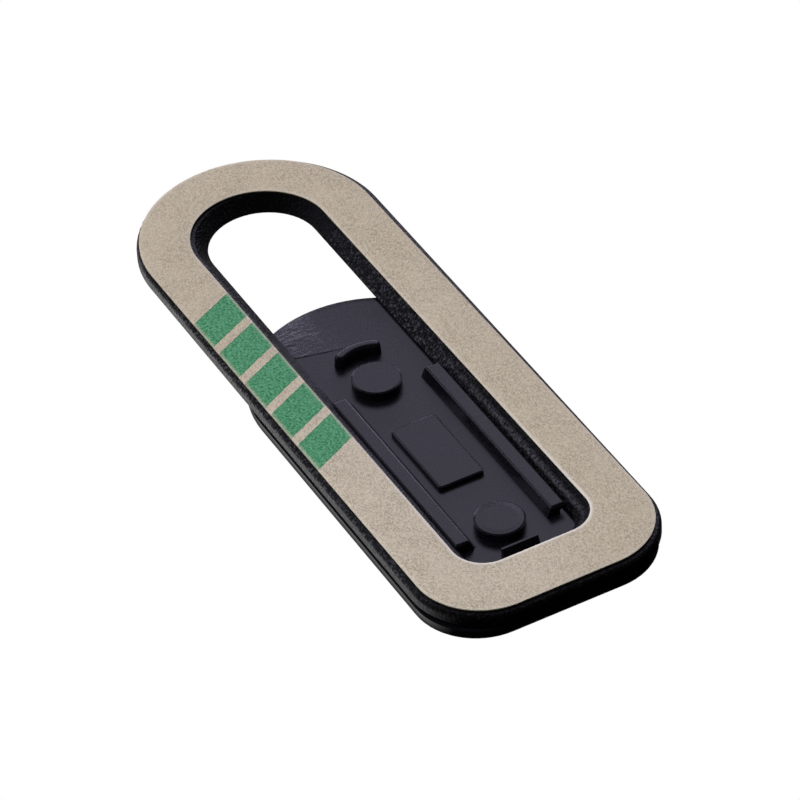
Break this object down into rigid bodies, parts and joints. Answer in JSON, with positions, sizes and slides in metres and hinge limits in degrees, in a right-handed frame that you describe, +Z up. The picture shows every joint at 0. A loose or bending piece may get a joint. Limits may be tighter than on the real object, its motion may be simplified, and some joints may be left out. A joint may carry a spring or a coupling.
{
  "type": "webcam cover slider",
  "caption": "Thin stick-on webcam cover: a flat ring frame with an adhesive back under a paper liner, and a round-ended shutter plate that slides along it on lipped rails.",
  "frame": {"origin": "middle of the outline, on the plane of the shutter's front face that the part lies on", "axes": "+X along the length towards the end where the shutter parks when the lens is open, +Y across the width, +Z up out of the adhesive side"},
  "size_m": [0.0402, 0.0138, 0.0017],
  "materials": {
    "frame_plastic": "fine satin moulded black",
    "tape": "cut edge of a black double-sided tape",
    "liner_paper": "calendered tan release paper with fine fibres",
    "shutter_plastic": "satin moulded black"
  },
  "bodies": {
    "frame": {"base_frame": "frame_plastic", "adhesive_tape": "tape", "release_liner": "liner_paper"},
    "slider": {"shutter": "shutter_plastic"}
  },
  "joints": [
    {"name": "shutter_slide", "type": "slide", "parent": "frame", "child": "slider", "axis": [-1, 0, 0], "range_m": [0, 0.01295]}
  ]
}
